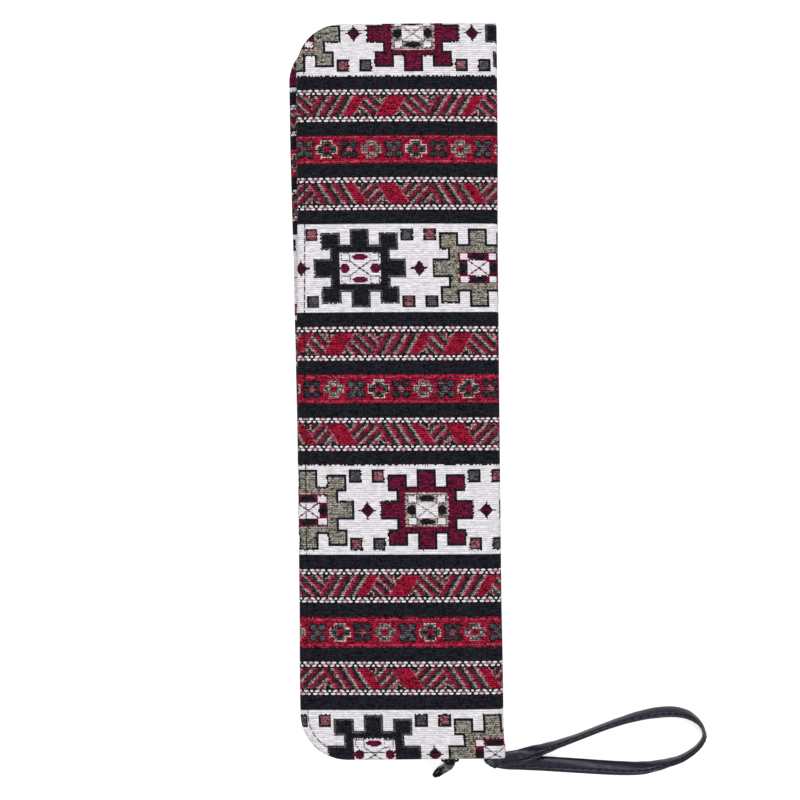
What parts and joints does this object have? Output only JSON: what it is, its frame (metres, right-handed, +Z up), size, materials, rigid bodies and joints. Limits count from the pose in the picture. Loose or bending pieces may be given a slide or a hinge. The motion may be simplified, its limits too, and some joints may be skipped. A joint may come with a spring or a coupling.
{
  "type": "zip case for a woodwind",
  "caption": "Slim padded zip case of striped woven fabric for a duduk, with a clamshell cover, a zip round three sides and a leather wrist strap.",
  "frame": {"origin": "centre of the back cover's flat outer face", "axes": "+Z up through the front cover, +Y to the top end, +X to the spine"},
  "size_m": [0.2417, 0.4364, 0.0386],
  "materials": {
    "kilim": "weft-ribbed woven bands in dark red, black and off-white",
    "foam": "soft padding",
    "lining": "brushed cloth",
    "tape": "woven zip tape",
    "teeth": "moulded, satin",
    "black_metal": "gloss black",
    "elastic": "ribbed elastic",
    "leather": "smooth black, soft gloss"
  },
  "bodies": {
    "back_half": {"back_cover": "kilim", "back_foam": "foam", "back_lining": "lining", "back_spine": "kilim", "back_spine_board": "lining", "back_upper_tape": "tape", "back_side_tape": "tape", "back_lower_tape": "tape", "back_zip_teeth": "teeth", "back_end_stop": "black_metal", "zip_box_stop": "black_metal", "upper_band": "elastic", "lower_band": "elastic", "strap_tab": "leather"},
    "front_half": {"front_cover": "kilim", "front_foam": "foam", "front_lining": "lining", "front_spine": "kilim", "front_spine_board": "lining", "front_upper_tape": "tape", "front_side_tape": "tape", "front_lower_tape": "tape", "front_zip_teeth": "teeth", "front_end_stop": "black_metal"},
    "slider": {"zip_slider": "black_metal"},
    "pull": {"pull_tab": "black_metal"},
    "strap": {"wrist_strap": "leather"}
  },
  "joints": [
    {"name": "cover_hinge", "type": "hinge", "parent": "back_half", "child": "front_half", "pos_m": [0.05725, 0, 0.0185], "axis": [0, 1, 0], "range_deg": [0, 160]},
    {"name": "slider_run", "type": "slide", "parent": "back_half", "child": "slider", "axis": [1, 0, 0], "range_m": [-0.05, 0]},
    {"name": "pull_swing", "type": "hinge", "parent": "slider", "child": "pull", "pos_m": [0.0275, -0.2142, 0.0185], "axis": [0, 0, 1], "range_deg": [-45, 50]},
    {"name": "strap_swing", "type": "hinge", "parent": "back_half", "child": "strap", "pos_m": [0.054, -0.2172, 0.003], "axis": [0, 0, 1], "range_deg": [-90, 0]}
  ]
}
